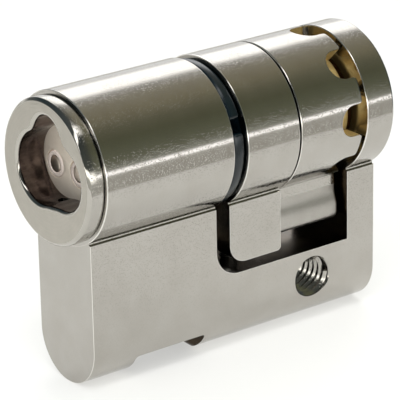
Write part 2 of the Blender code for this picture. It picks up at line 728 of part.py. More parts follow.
clear_scene()
nickel = make_material("nickel", (0.72, 0.69, 0.62), 1.0, 0.28)
rose_steel = make_material("rose_steel", (0.62, 0.55, 0.50), 1.0, 0.35)
brass = make_material("brass", (0.75, 0.56, 0.25), 1.0, 0.3)
bronze = make_material("bronze", (0.55, 0.38, 0.2), 1.0, 0.4)
black_steel = make_material("black_steel", (0.03, 0.035, 0.04), 0.6, 0.4)
hard_steel = make_material("hard_steel", (0.5, 0.5, 0.5), 1.0, 0.3)
zinc_steel = make_material("zinc_steel", (0.6, 0.6, 0.58), 1.0, 0.4)
spring_steel = make_material("spring_steel", (0.35, 0.35, 0.36), 1.0, 0.35)
contact_metal = make_material("contact_metal", (0.7, 0.66, 0.58), 1.0, 0.25)
aluminium = make_material("aluminium", (0.75, 0.76, 0.78), 1.0, 0.35)
copper = make_material("copper", (0.7, 0.3, 0.15), 1.0, 0.35)
rubber = make_material("rubber", (0.02, 0.02, 0.02), 0.0, 0.7)
grey_plastic = make_material("grey_plastic", (0.6, 0.6, 0.6), 0.0, 0.4)
black_plastic = make_material("black_plastic", (0.03, 0.03, 0.03), 0.0, 0.5)
board_green = make_material("board_green", (0.03, 0.2, 0.08), 0.0, 0.4)

build_housing()
build_drill_pins()
build_spacer()
build_spacer_pin()
build_rear_end()
build_face_cap()
build_contact_face()
build_contact("main", main_contact, 3)
build_contact("side", side_contact, 3)
build_sleeve()
build_seal()
build_snap_ring()
build_boards()
build_actuator()
build_locking_pins()
build_shaft()
build_hub()
build_cam_key()
build_cam()
build_index_pin()
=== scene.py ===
from math import cos, pi, radians, sin, sqrt

import bpy
from mathutils import Matrix, Vector


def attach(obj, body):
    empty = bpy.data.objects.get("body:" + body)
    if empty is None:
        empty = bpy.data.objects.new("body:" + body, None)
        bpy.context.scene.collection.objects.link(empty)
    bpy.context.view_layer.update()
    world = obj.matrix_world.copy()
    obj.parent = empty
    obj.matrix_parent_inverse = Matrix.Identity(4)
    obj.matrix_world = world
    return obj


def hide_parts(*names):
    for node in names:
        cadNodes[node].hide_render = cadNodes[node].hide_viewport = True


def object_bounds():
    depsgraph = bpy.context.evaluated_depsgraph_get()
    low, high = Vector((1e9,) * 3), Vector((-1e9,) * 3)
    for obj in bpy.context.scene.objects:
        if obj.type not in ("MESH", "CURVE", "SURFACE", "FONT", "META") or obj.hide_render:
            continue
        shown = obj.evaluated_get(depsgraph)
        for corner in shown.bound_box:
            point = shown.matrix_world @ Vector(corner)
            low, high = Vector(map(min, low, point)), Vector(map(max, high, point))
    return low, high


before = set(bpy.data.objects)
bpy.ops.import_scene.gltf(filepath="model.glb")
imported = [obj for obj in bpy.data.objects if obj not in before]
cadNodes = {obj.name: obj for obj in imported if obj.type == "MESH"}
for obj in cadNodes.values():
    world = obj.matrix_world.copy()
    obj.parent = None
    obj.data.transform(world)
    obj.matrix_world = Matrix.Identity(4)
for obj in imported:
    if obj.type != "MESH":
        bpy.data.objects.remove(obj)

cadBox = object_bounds()


# ---- small tools; every length in the dictionaries is in millimetres, every angle in degrees

# merging distances for a drawn and for a finished mesh, and how the shading is set
meshHabits = {"drawnMerge": 0.0001, "finishedMerge": 0.0002, "smoothAngle": 32, "normalWeight": 60}


def mm(value):
    return value * 0.001


def hexColour(code):
    # from six hex digits in the usual screen encoding to linear light, with an alpha of 1
    parts = [int(code[i:i + 2], 16) / 255 for i in (0, 2, 4)]
    linear = [c / 12.92 if c <= 0.04045 else ((c + 0.055) / 1.055) ** 2.4 for c in parts]
    return (*linear, 1.0)


def activate(piece):
    if bpy.context.mode != "OBJECT":
        bpy.ops.object.mode_set(mode="OBJECT")
    bpy.ops.object.select_all(action="DESELECT")
    piece.select_set(True)
    bpy.context.view_layer.objects.active = piece


def editAll(piece):
    # edit mode, with the whole mesh selected
    activate(piece)
    bpy.ops.object.mode_set(mode="EDIT")
    bpy.ops.mesh.select_all(action="SELECT")


def startPicking(piece, kind):
    # nothing selected, and back in object mode, where a selection can be written
    activate(piece)
    bpy.ops.object.mode_set(mode="EDIT")
    bpy.ops.mesh.select_mode(type=kind)
    bpy.ops.mesh.select_all(action="DESELECT")
    bpy.ops.object.mode_set(mode="OBJECT")


def startPiece(name, points, fill):
    # a circle primitive whose points are pulled onto the section; it is left in edit mode
    bpy.ops.object.select_all(action="DESELECT")
    bpy.ops.mesh.primitive_circle_add(vertices=len(points), radius=mm(1), fill_type=fill)
    piece = bpy.context.object
    piece.name = piece.data.name = name
    for vertex, point in zip(piece.data.vertices, points):
        vertex.co = [mm(v) for v in point]
    editAll(piece)
    return piece


def tidyMesh(piece):
    # doubled points and loose edges go, and the faces all look outwards
    editAll(piece)
    bpy.ops.mesh.remove_doubles(threshold=mm(meshHabits["drawnMerge"]))
    bpy.ops.mesh.delete_loose(use_verts=True, use_edges=True, use_faces=False)
    bpy.ops.mesh.select_all(action="SELECT")
    bpy.ops.mesh.normals_make_consistent(inside=False)
    bpy.ops.object.mode_set(mode="OBJECT")


def turnedPiece(name, section, steps=144, place=(0, 0, 0)):
    # a half section of (x, radius) spun about the barrel's axis, then moved to its place
    piece = startPiece(name, [(x, 0, r) for x, r in section], "NOTHING")
    bpy.ops.mesh.spin(steps=steps, angle=2 * pi, center=(0, 0, 0), axis=(1, 0, 0))
    tidyMesh(piece)
    if any(place):
        moved(piece, place)
    return piece


def extrudedPiece(name, outline, axis, start, end):
    # an outline in the plane across the axis, extruded from start to end
    lift = {"X": lambda p: (start, p[0], p[1]), "Y": lambda p: (p[0], start, p[1]),
            "Z": lambda p: (p[0], p[1], start)}[axis]
    piece = startPiece(name, [lift(p) for p in outline], "NGON")
    travel = [mm(end - start) if letter == axis else 0 for letter in "XYZ"]
    bpy.ops.mesh.extrude_region_move(TRANSFORM_OT_translate={"value": travel})
    tidyMesh(piece)
    return piece


def loftedPiece(name, sections):
    # rings of points, each (x, [(y, z)...]), bridged one to the next and closed at both ends
    count = len(sections[0][1])
    piece = startPiece(name, [(sections[0][0], y, z) for y, z in sections[0][1]], "NOTHING")
    for _ in sections[1:]:
        bpy.ops.mesh.primitive_circle_add(vertices=count, radius=mm(1), fill_type="NOTHING")
    bpy.ops.object.mode_set(mode="OBJECT")
    for i, (x, ring) in enumerate(sections):
        for vertex, (y, z) in zip(piece.data.vertices[i * count:(i + 1) * count], ring):
            vertex.co = (mm(x), mm(y), mm(z))
    for i in range(len(sections) - 1):
        pickRings(piece, count, (i, i + 1))
        bpy.ops.mesh.bridge_edge_loops()
    for i in (0, len(sections) - 1):
        pickRings(piece, count, (i,))
        bpy.ops.mesh.edge_face_add()
    tidyMesh(piece)
    return piece


def pickRings(piece, count, rings):
    # the edges that run round the given rings of a loft are left selected, in edit mode
    startPicking(piece, "EDGE")
    for edge in piece.data.edges:
        a, b = (i // count for i in edge.vertices)
        edge.select = a == b and a in rings
    bpy.ops.object.mode_set(mode="EDIT")


def moved(piece, travel):
    # an edit of the mesh, so that the object stays at the origin
    editAll(piece)
    bpy.ops.transform.translate(value=[mm(v) for v in travel])
    bpy.ops.object.mode_set(mode="OBJECT")


def swung(piece, angle, axis):
    # turned about the origin, also as an edit of the mesh
    editAll(piece)
    bpy.ops.transform.rotate(value=-angle, orient_axis=axis, orient_type="GLOBAL",
                             center_override=(0, 0, 0))
    bpy.ops.object.mode_set(mode="OBJECT")
    return piece


def combine(piece, other, operation):
    # the other piece is used up
    step = piece.modifiers.new("fit", "BOOLEAN")
    step.object, step.operation, step.solver = other, operation, "EXACT"
    activate(piece)
    bpy.ops.object.modifier_apply(modifier=step.name)
    bpy.data.objects.remove(other)


def cut(piece, other):
    combine(piece, other, "DIFFERENCE")


def join(piece, other):
    combine(piece, other, "UNION")


def roundEdges(piece, width, segments, test):
    # only the edges whose two ends pass the test
    pickEdges(piece, test)
    bpy.ops.mesh.bevel(offset=mm(width), segments=segments, affect="EDGES", clamp_overlap=True)
    bpy.ops.object.mode_set(mode="OBJECT")


def roundAll(piece, width, segments, angle=35):
    # every edge sharper than the angle
    step = piece.modifiers.new("edges", "BEVEL")
    step.width, step.segments, step.limit_method = mm(width), segments, "ANGLE"
    step.angle_limit = radians(angle)
    step.use_clamp_overlap = False
    step.miter_outer = "MITER_ARC"
    activate(piece)
    bpy.ops.object.modifier_apply(modifier=step.name)


def pickFaces(piece, test):
    # the faces whose middle and normal pass the test are left selected, in edit mode
    startPicking(piece, "FACE")
    for face in piece.data.polygons:
        face.select = bool(test(face.center * 1000, face.normal))
    bpy.ops.object.mode_set(mode="EDIT")


def pickEdges(piece, test):
    startPicking(piece, "EDGE")
    points = piece.data.vertices
    for edge in piece.data.edges:
        a, b = (points[i].co * 1000 for i in edge.vertices)
        edge.select = bool(test(a, b))
    bpy.ops.object.mode_set(mode="EDIT")


def inPlane(a, b, axis, place, gap=0.02):
    # both ends of an edge lie in one plane across the axis
    return abs(a[axis] - place) < gap and abs(b[axis] - place) < gap


def paint(piece, material, test):
    # the faces that pass the test get a material of their own
    piece.data.materials.append(material)
    pickFaces(piece, test)
    piece.active_material_index = len(piece.data.materials) - 1
    bpy.ops.object.material_slot_assign()
    bpy.ops.object.mode_set(mode="OBJECT")


def finishPiece(piece, body, slot, *nodes):
    # points that fall together are merged before the shading is set
    editAll(piece)
    bpy.ops.mesh.remove_doubles(threshold=mm(meshHabits["finishedMerge"]))
    bpy.ops.object.mode_set(mode="OBJECT")
    bpy.ops.object.shade_smooth_by_angle(angle=radians(meshHabits["smoothAngle"]),
                                         keep_sharp_edges=False)
    step = piece.modifiers.new("shading", "WEIGHTED_NORMAL")
    step.keep_sharp, step.weight = True, meshHabits["normalWeight"]
    bpy.ops.object.modifier_apply(modifier=step.name)
    piece.data.name = piece.name
    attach(piece, body)
    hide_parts(*nodes)
    print("made", piece.name, len(piece.data.polygons), "faces")


def arcPoints(cx, cy, r, start, end, steps):
    angles = [radians(start + (end - start) * i / steps) for i in range(steps + 1)]
    return [(cx + r * cos(a), cy + r * sin(a)) for a in angles]


def circlePoints(cx, cy, r, count):
    return arcPoints(cx, cy, r, 0, 360 - 360 / count, count - 1)


def evenly(start, end, steps):
    return [start + (end - start) * i / steps for i in range(steps + 1)]


# ---- materials

def addNode(tree, kind, settings=None, links=None):
    node = tree.nodes.new(kind)
    for key, value in (settings or {}).items():
        if isinstance(key, str) and hasattr(node, key):
            setattr(node, key, value)
        else:
            node.inputs[key].default_value = value
    for key, source in (links or {}).items():
        tree.links.new(source, node.inputs[key])
    return node


def spread(tree, value, source, target):
    # a value's source range is stretched over the target range, and held at its ends
    node = addNode(tree, "ShaderNodeMapRange",
                   {"From Min": source[0], "From Max": source[1], "To Min": target[0],
                    "To Max": target[1]}, {"Value": value})
    return node.outputs[0]


# what a finish has unless its own entry says otherwise
usualLook = {"stretch": (1, 1, 1), "marks": "cloudy", "wander": 0.6, "grain": 0.04,
             "roughSpan": 0.05, "relief": (0.0, 1.0), "grainFrom": (0.25, 0.75),
             "roughFrom": (0.3, 0.7)}
ringSpacing = 0.314    # between the rings of a wave texture at a scale of 1


def madeFinish(name, ownLook):
    # colour drifts between two hex values; grain, roughness and bump follow the surface's marks
    look = {**usualLook, **ownLook}
    material = bpy.data.materials.new(name)
    material.use_nodes = True
    tree = material.node_tree
    shader = tree.nodes["Principled BSDF"]
    shader.inputs["Metallic"].default_value = look["metallic"]
    if "ior" in look:
        shader.inputs["IOR"].default_value = look["ior"]
    coords = addNode(tree, "ShaderNodeTexCoord")
    mapped = addNode(tree, "ShaderNodeMapping", {"Scale": look["stretch"]},
                     {"Vector": coords.outputs["Object"]})
    drift = addNode(tree, "ShaderNodeTexNoise", {"Scale": 1 / mm(look["driftSize"]), "Detail": 3.0},
                    {"Vector": mapped.outputs[0]})
    colour = addNode(tree, "ShaderNodeMix",
                     {"data_type": "RGBA", 6: hexColour(look["low"]), 7: hexColour(look["high"])},
                     {0: drift.outputs["Fac"]})
    if look["marks"] == "turned":    # rings about the barrel's axis
        marks = addNode(tree, "ShaderNodeTexWave",
                        {"wave_type": "RINGS", "rings_direction": "X",
                         "Scale": ringSpacing / mm(look["markSize"]),
                         "Distortion": look["wander"], "Detail": 2.0, "Detail Scale": 1.5},
                        {"Vector": mapped.outputs[0]})
    elif look["marks"] == "dimpled":    # one small dent in each cell
        marks = addNode(tree, "ShaderNodeTexVoronoi", {"Scale": 1 / mm(look["markSize"])},
                        {"Vector": mapped.outputs[0]})
    else:
        marks = addNode(tree, "ShaderNodeTexNoise",
                        {"Scale": 1 / mm(look["markSize"]), "Detail": 2.0, "Roughness": 0.6},
                        {"Vector": mapped.outputs[0]})
    height = marks.outputs[0]
    grain = spread(tree, height, look["grainFrom"], (1 - look["grain"], 1.0))
    shaded = addNode(tree, "ShaderNodeVectorMath", {"operation": "SCALE"},
                     {0: colour.outputs[2], "Scale": grain})
    tree.links.new(shaded.outputs[0], shader.inputs["Base Color"])
    span = look["roughSpan"]
    rough = spread(tree, height, look["roughFrom"],
                   (look["roughness"] - span, look["roughness"] + span))
    tree.links.new(rough, shader.inputs["Roughness"])
    relief = spread(tree, height, look["relief"], (0.0, 1.0))
    bump = addNode(tree, "ShaderNodeBump",
                   {"Strength": look["bump"], "Distance": mm(look["depth"])}, {"Height": relief})
    tree.links.new(bump.outputs[0], shader.inputs["Normal"])
    return material


finishLooks = {
    # Nickel over brass, tumbled in fine media: clear reflections broken by small dents.
    "tumbledSatinNickel": {"metallic": 1.0, "low": "a8a49d", "high": "b7b4ae", "driftSize": 3.0,
                           "marks": "dimpled", "markSize": 0.17, "roughness": 0.1,
                           "roughSpan": 0.02, "bump": 1.0, "depth": 0.012,
                           "relief": (0.0, 0.37)},
    # The cam's lever keeps a coarser skin under its plating, so its reflections are soft.
    "satinLeverNickel": {"metallic": 1.0, "low": "a8a49d", "high": "b7b4ae", "driftSize": 1.5,
                         "markSize": 0.16, "roughness": 0.36, "roughSpan": 0.06, "grain": 0.12,
                         "bump": 0.6, "depth": 0.03},
    # The window's walls and the foot notch's walls are darkened as painted shade; the drift towards
    # brown-gold stands in for painted glints.
    "paintedShadeNickel": {"metallic": 1.0, "low": "14110e", "high": "5c4d38", "driftSize": 0.9,
                         "stretch": (1, 0.4, 1), "markSize": 0.22, "roughness": 0.2,
                         "roughSpan": 0.06, "grain": 0.3, "bump": 0.5, "depth": 0.02},
    # The cap's face is turned and left matt, so it shows one even beige.
    "turnedMattNickel": {"metallic": 1.0, "low": "a8a49b", "high": "b6b1a8", "driftSize": 1.2,
                         "marks": "turned", "markSize": 0.42, "roughness": 0.34, "roughSpan": 0.05,
                         "wander": 1.6, "grain": 0.05, "bump": 0.16, "depth": 0.012},
    # Burnished edges: close to a mirror.
    "burnishedNickel": {"metallic": 1.0, "low": "b0aca4", "high": "bab7b0", "driftSize": 1.5,
                        "markSize": 0.3, "roughness": 0.06, "roughSpan": 0.03, "bump": 0.15,
                        "depth": 0.01},
    # Painted highlight: a much lighter nickel laid on edges, for the bright line each edge catches.
    "paintedHighlightNickel": {"metallic": 1.0, "low": "dedad3", "high": "eeebe6", "driftSize": 0.8,
                       "markSize": 0.2, "roughness": 0.16, "roughSpan": 0.05, "bump": 0.3,
                       "depth": 0.012},
    # The mouth's walls: nickel darkened to brown as painted shade inside the deep mouth; the
    # streaks stand for cutter marks and painted reflections.
    "paintedShadeMouthWall": {"metallic": 1.0, "low": "3b3331", "high": "7f726c", "driftSize": 0.5,
                          "stretch": (0.4, 1, 1), "markSize": 0.25, "roughness": 0.17,
                          "roughSpan": 0.06, "grain": 0.2, "bump": 0.4, "depth": 0.02},
    # Stainless plate at the bottom of the mouth, finely turned, a little pink.
    "turnedRoseSteel": {"metallic": 0.85, "low": "e8dccd", "high": "f3eadd", "driftSize": 0.8,
                        "marks": "turned", "markSize": 0.2, "roughness": 0.6, "bump": 0.4,
                        "depth": 0.012},
    # Machined brass shows golden inside the cam's notches.
    "machinedBrass": {"metallic": 0.88, "low": "d9bd79", "high": "f0d99c", "driftSize": 0.7,
                      "marks": "turned", "markSize": 0.25, "roughness": 0.58, "bump": 0.4,
                      "depth": 0.015},
    # Sintered bronze: darker, with open grains.
    "sinteredBronze": {"metallic": 1.0, "low": "7c5530", "high": "9b6f42", "driftSize": 0.3,
                       "markSize": 0.15, "roughness": 0.45, "bump": 0.5, "depth": 0.03},
    # Spring steel blackened and oiled: dark with a cool sheen.
    "oiledBlackSteel": {"metallic": 0.03, "low": "04090c", "high": "0a161b", "driftSize": 0.6,
                        "markSize": 0.2, "roughness": 0.22, "bump": 0.3, "depth": 0.012},
    # Brass darkened almost to black as painted shade, where the sleeve shows in the gap behind the
    # ring's split.
    "paintedShadeBrass": {"metallic": 1.0, "low": "14110d", "high": "241e15", "driftSize": 0.5,
                       "markSize": 0.2, "roughness": 0.4, "bump": 0.3, "depth": 0.015},
    # Hardened and ground pins.
    "groundHardSteel": {"metallic": 1.0, "low": "8a8a88", "high": "a3a3a0", "driftSize": 0.5,
                        "marks": "turned", "markSize": 0.2, "roughness": 0.26, "bump": 0.25,
                        "depth": 0.01},
    # Zinc-plated pressed sheet: soft grey spangle.
    "platedZincSteel": {"metallic": 1.0, "low": "9a9c9b", "high": "b4b7b6", "driftSize": 0.9,
                        "markSize": 0.25, "roughness": 0.38, "bump": 0.3, "depth": 0.012},
    # Drawn spring wire.
    "drawnSpringSteel": {"metallic": 1.0, "low": "6c6c6e", "high": "87878a", "driftSize": 0.3,
                         "markSize": 0.12, "roughness": 0.33, "bump": 0.25, "depth": 0.008},
    # Contact rivets: nickel silver, worn smooth by keys.
    "wornContactSilver": {"metallic": 1.0, "low": "c4b7a9", "high": "d8ccbf", "driftSize": 0.5,
                          "markSize": 0.14, "roughness": 0.36, "bump": 0.3, "depth": 0.012},
    # Drawn aluminium can of the capacitor.
    "drawnAluminium": {"metallic": 1.0, "low": "b0b3b6", "high": "c6c9cc", "driftSize": 0.6,
                       "markSize": 0.2, "roughness": 0.34, "bump": 0.25, "depth": 0.01},
    # Enamelled winding wire, 0.2 mm across, seen as fine turns.
    "enamelledCopper": {"metallic": 1.0, "low": "9c4f22", "high": "b9682f", "driftSize": 0.4,
                        "markSize": 0.2, "roughness": 0.3, "bump": 0.5, "depth": 0.03},
    # Nitrile rubber, moulded and slightly dusty.
    "mouldedNitrile": {"metallic": 0.0, "low": "141414", "high": "222222", "driftSize": 0.5,
                       "markSize": 0.2, "roughness": 0.68, "bump": 0.3, "depth": 0.015,
                       "ior": 1.52},
    # Glossy light grey moulding round each contact.
    "mouldedGreyPlastic": {"metallic": 0.0, "low": "a89d95", "high": "b8ada5", "driftSize": 0.8,
                           "markSize": 0.25, "roughness": 0.22, "bump": 0.15, "depth": 0.01,
                           "ior": 1.53},
    # Glass-filled black moulding.
    "mouldedBlackPlastic": {"metallic": 0.0, "low": "101011", "high": "1c1c1e", "driftSize": 0.4,
                            "markSize": 0.15, "roughness": 0.48, "bump": 0.3, "depth": 0.012,
                            "ior": 1.55},
    # Solder mask over woven glass, thread pitch about 0.4 mm.
    "maskedGlassBoard": {"metallic": 0.0, "low": "0f4a2a", "high": "186038", "driftSize": 0.4,
                         "markSize": 0.4, "roughness": 0.3, "bump": 0.3, "depth": 0.02,
                         "ior": 1.54},
}
finish = {name: madeFinish(name, look) for name, look in finishLooks.items()}
print("materials made:", len(finish))


# ---- housing: two turned tubes on a flange, with the cam's window cut across

housing = {"barrelR": 8.5, "boreR": 7.1, "rearBoreR": 5.6, "frontX": -30.0, "rearX": 9.0,
           "flangeHalf": 5.0, "flangeLow": -24.5, "neckHalf": 4.75, "neckZ": -7.27, "innerR": 7.8,
           "windowFront": -13.4, "windowRear": 5.1, "windowFloor": -15.4, "windowCorner": 3.0,
           "notchFront": -24.1, "notchRear": -14.8, "notchTop": -21.8, "notchEase": 0.8,
           "rim": 0.1, "rearRim": 0.35, "windowRim": 0.12, "windowEdge": 0.08, "flangeEdge": 0.16,
           "grooveEdge": 0.05, "steps": 160}
# upright holes as (x, radius, low, high), and the pockets at each side of the window's floor
housingHoles = [(-27.2, 1.3, -30, -10.85), (-19.45, 1.3, -30, -10.85), (-8.05, 1.1, -21.6, -14),
                (-16.0, 0.95, 6.5, 8.0), (-16.0, 0.95, -8.0, -6.5)]
screw = {"z": -18.75, "boreR": 2.38, "crestR": 2.02, "crestHalf": 0.04, "rootDepth": 0.08,
         "rootShare": 0.42, "sinkR": 2.5, "sinkEdge": 0.15, "pitch": 0.8, "turns": 11, "steps": 40}
# the flange ends this far inside the tubes' faces, and cutters reach this far out to the sides
faceInset = 0.004
cutReach = 12


def flangeOutline(low, roundFoot):
    # (y, z) of the flange or the spacer's leg: groove under the barrel, straight sides, foot
    h = housing
    half, neck = h["flangeHalf"], h["neckHalf"]
    right = [(neck, h["neckZ"]), (half - h["grooveEdge"], h["neckZ"]),
             (half, h["neckZ"] - h["grooveEdge"])]
    foot = arcPoints(0, low + half, half, 0, -180, 40) if roundFoot else [(half, low), (-half, low)]
    left = [(-y, z) for y, z in right[::-1]]
    top = [(y, -sqrt(h["innerR"] ** 2 - y * y)) for y in evenly(-neck, neck, 12)]
    return right + foot + left + top


def tubeSection(x0, x1, inner, outer, front, rear):
    # a tube's half section, its outer rims rounded and its bore eased by half as much
    quarter = [radians(a) for a in (0, 30, 60, 90)]
    bore = [(x0, inner + front / 2), (x0 + front / 2, inner), (x1 - rear / 2, inner),
            (x1, inner + rear / 2)]
    rearRim = [(x1 - rear + rear * cos(a), outer - rear + rear * sin(a)) for a in quarter]
    frontRim = [(x0 + front - front * cos(a), outer - front + front * sin(a))
                for a in quarter[::-1]]
    return bore + rearRim + frontRim


def windowShape():
    h = housing
    corner = arcPoints(h["windowFront"] + h["windowCorner"], h["windowFloor"] + h["windowCorner"],
                       h["windowCorner"], 180, 270, 16)
    outline = [(h["windowFront"], 0)] + corner + [(h["windowRear"], h["windowFloor"]),
                                                  (h["windowRear"], 0)]
    return extrudedPiece("window", outline, "Y", -cutReach, cutReach)


def footNotchShape():
    # eased where it meets the foot, rounded half as much at its top, the same at both ends
    h = housing
    ease, top, below = h["notchEase"], h["notchTop"], h["flangeLow"] - 5.5
    front = arcPoints(h["notchFront"] - ease, h["flangeLow"] + ease, ease, -90, 0, 6) \
        + arcPoints(h["notchFront"] + ease / 2, top - ease / 2, ease / 2, 180, 90, 6)
    both = h["notchFront"] + h["notchRear"]
    rear = [(both - x, z) for x, z in front[::-1]]
    outline = [(h["notchFront"] - ease, below)] + front + rear + [(h["notchRear"] + ease, below)]
    return extrudedPiece("notch", outline, "Y", -cutReach, cutReach)


def screwHoleShape():
    s, half = screw, housing["flangeHalf"]
    bottom = half - s["sinkEdge"]
    out = half + 3
    hole = turnedPiece("screwHole", [(-out, 0), (-out, s["sinkR"]), (-half, s["sinkR"]),
                                     (-bottom, s["boreR"]), (bottom, s["boreR"]),
                                     (half, s["sinkR"]), (out, s["sinkR"]), (out, 0)], 64)
    swung(hole, pi / 2, "Z")
    moved(hole, (0, 0, s["z"]))
    return hole


def threadShape():
    # one blunt ridge, its root inside the flange, carried round by a screw modifier
    s = screw
    rootR, rootHalf = s["boreR"] + s["rootDepth"], s["pitch"] * s["rootShare"]
    start = -s["turns"] * s["pitch"] / 2
    ridge = startPiece("thread", [(rootR, start - rootHalf, 0),
                                  (s["crestR"], start - s["crestHalf"], 0),
                                  (s["crestR"], start + s["crestHalf"], 0),
                                  (rootR, start + rootHalf, 0)], "NOTHING")
    bpy.ops.object.mode_set(mode="OBJECT")
    step = ridge.modifiers.new("turns", "SCREW")
    step.axis, step.angle, step.screw_offset = "Y", 2 * pi, mm(s["pitch"])
    step.iterations, step.steps, step.render_steps = s["turns"], s["steps"], s["steps"]
    bpy.ops.object.modifier_apply(modifier=step.name)
    bpy.ops.object.mode_set(mode="EDIT")
    bpy.ops.mesh.select_mode(type="VERT")
    bpy.ops.mesh.select_all(action="DESELECT")
    bpy.ops.mesh.select_non_manifold(extend=False)
    bpy.ops.mesh.fill()
    moved(ridge, (0, 0, s["z"]))
    tidyMesh(ridge)
    return ridge


def uprightRod(x, r, low, high):
    return extrudedPiece("rod", circlePoints(x, 0, r, 24), "Z", low, high)


def madeHousing():
    h = housing
    under = h["neckZ"] - 0.02

    def inWindow(p):
        return h["windowFront"] - 0.05 < p.x < h["windowRear"] + 0.05 \
            and h["windowFloor"] - 0.05 < p.z < under

    def onFlangeEnd(a, b):
        return max(a.z, b.z) < under and (inPlane(a, b, 0, h["frontX"])
                                          or inPlane(a, b, 0, h["rearX"]))

    def onWindowEdge(a, b):
        return inWindow(a) and inWindow(b) and (inPlane(a, b, 1, h["flangeHalf"])
                                                or inPlane(a, b, 1, -h["flangeHalf"]))

    def onPaintedShadeWall(p, n):
        # painted shade on the window's walls, the face over its front end, and the walls of the
        # notch in the foot
        return inWindow(p) and abs(n.y) < 0.3 \
            or abs(p.x - h["windowFront"]) < 0.05 and p.yz.length < 8.4 \
            or h["notchFront"] - 0.5 < p.x < h["notchRear"] + 0.5 and p.z < -21.5 \
            and abs(n.y) < 0.3

    def onHighlightEdge(p, n):
        # painted highlight on the flange's ends, the window's edges, and the tubes' rims except the
        # rearmost
        toEnd = min(abs(p.x - h["frontX"]), abs(p.x - h["rearX"]))
        return p.z < under and 0.2 < abs(n.x) < 0.98 and toEnd < 0.2 \
            or inWindow(p) and 0.3 < abs(n.y) < 0.98 \
            or p.yz.length > 8.35 and p.z > h["neckZ"] and 0.15 < abs(n.x) < 0.98 \
            and p.x < h["windowRear"] + 0.12

    body = extrudedPiece("housingBody", flangeOutline(h["flangeLow"], True), "X",
                         h["frontX"] + faceInset, h["rearX"] - faceInset)
    cut(body, windowShape())
    cut(body, footNotchShape())
    roundEdges(body, h["flangeEdge"], 3, onFlangeEnd)
    roundEdges(body, h["windowEdge"], 2, onWindowEdge)
    cut(body, screwHoleShape())
    front = tubeSection(h["frontX"], h["windowFront"], h["boreR"], h["barrelR"], h["rim"],
                        h["windowRim"])
    rear = tubeSection(h["windowRear"], h["rearX"], h["rearBoreR"], h["barrelR"], h["windowRim"],
                       h["rearRim"])
    frontTube = turnedPiece("frontTube", front, h["steps"])
    rearTube = turnedPiece("rearTube", rear, h["steps"])
    join(body, frontTube)
    join(body, rearTube)
    for hole in housingHoles:
        cut(body, uprightRod(*hole))
    body.data.materials.append(finish["tumbledSatinNickel"])
    join(body, threadShape())
    # the window's and the notch's walls get a dark nickel as painted shade
    paint(body, finish["paintedShadeNickel"], onPaintedShadeWall)
    # the edges get a lighter nickel as a painted highlight
    paint(body, finish["paintedHighlightNickel"], onHighlightEdge)
    finishPiece(body, "fixed_housing", "nickel", "housing")


madeHousing()


# ---- face cap with the lobed key mouth

cap = {"frontX": -31.95, "backX": -30.08, "r": 8.05, "bevel": 0.36, "backEdge": 0.04,
       "spigotR": 6.95, "spigotEnd": -28.5, "spigotEdge": 0.1, "rim": 0.42,
       "catch": (-29.3, 0.8, 0.62), "catchZ": (-5.5, -2), "mouthWallR": 6.9, "outerWallR": 7.2,
       "steps": 160}
mouthLobes = [(1.35, 0.05, 4.0), (-2.85, 0.05, 3.5), (-0.35, 3.75, 2.6), (-0.6, 0.0, 3.65)]
mouthEasing = 12


def mouthOutline(grow, count=160):
    # the outer edge of four overlapping circles, with the inner corners eased
    angles = [2 * pi * i / count for i in range(count)]
    reach = []
    for a in angles:
        best = 0
        for y, z, r in mouthLobes:
            along = y * cos(a) + z * sin(a)
            inside = (r + grow) ** 2 - y * y - z * z + along * along
            if inside > 0:
                best = max(best, along + sqrt(inside))
        reach.append(best)
    for _ in range(mouthEasing):
        reach = [(reach[i - 1] + reach[i] + reach[(i + 1) % count]) / 3 for i in range(count)]
    return [(r * cos(a), r * sin(a)) for a, r in zip(angles, reach)]


def mouthShape():
    # straight through the cap, flared round the rim
    c, rim = cap, cap["rim"]
    sections = [(c["frontX"] - 1, mouthOutline(rim))]
    for a in (2, 15, 30, 45, 60, 75, 90):
        sections.append((c["frontX"] + rim - rim * cos(radians(a)),
                         mouthOutline(rim - rim * sin(radians(a)))))
    sections.append((c["spigotEnd"] + 1, mouthOutline(0)))
    return loftedPiece("mouth", sections)


def madeCap():
    c = cap
    bevelEnd = c["frontX"] + c["bevel"]
    # shares of the bevel along and inwards: a flat at 45 degrees with soft ends
    bevel = [(c["frontX"] + c["bevel"] * along, c["r"] - c["bevel"] * inwards)
             for along, inwards in ((0.02, 0.98), (0.09, 0.84), (0.24, 0.66), (0.66, 0.24),
                                    (0.84, 0.09), (0.99, 0.01))]
    section = [(c["frontX"], 0), (c["frontX"], c["r"] - c["bevel"] - c["backEdge"])] + bevel + [
        (c["backX"] - c["backEdge"], c["r"]), (c["backX"], c["r"] - c["backEdge"]),
        (c["backX"], c["spigotR"]), (c["spigotEnd"] - c["spigotEdge"], c["spigotR"]),
        (c["spigotEnd"], c["spigotR"] - c["spigotEdge"]), (c["spigotEnd"], 0)]
    body = turnedPiece("faceCap", section, c["steps"])
    cut(body, mouthShape())
    x, y, r = c["catch"]
    cut(body, extrudedPiece("catch", circlePoints(x, y, r, 24), "Z", *c["catchZ"]))
    body.data.materials.append(finish["turnedMattNickel"])
    paint(body, finish["burnishedNickel"], lambda p, n: p.x < bevelEnd and n.x > -0.99)
    paint(body, finish["tumbledSatinNickel"],
          lambda p, n: p.x > bevelEnd - 0.02 and p.yz.length > c["outerWallR"])
    # the mouth's walls get a dark brown nickel as painted shade
    paint(body, finish["paintedShadeMouthWall"],
          lambda p, n: p.x > c["frontX"] + 0.2 and p.yz.length < c["mouthWallR"]
          and abs(n.x) < 0.5)
    finishPiece(body, "turning_core", "nickel", "face_cap")


madeCap()


# ---- contact plate, its insulators and its contacts

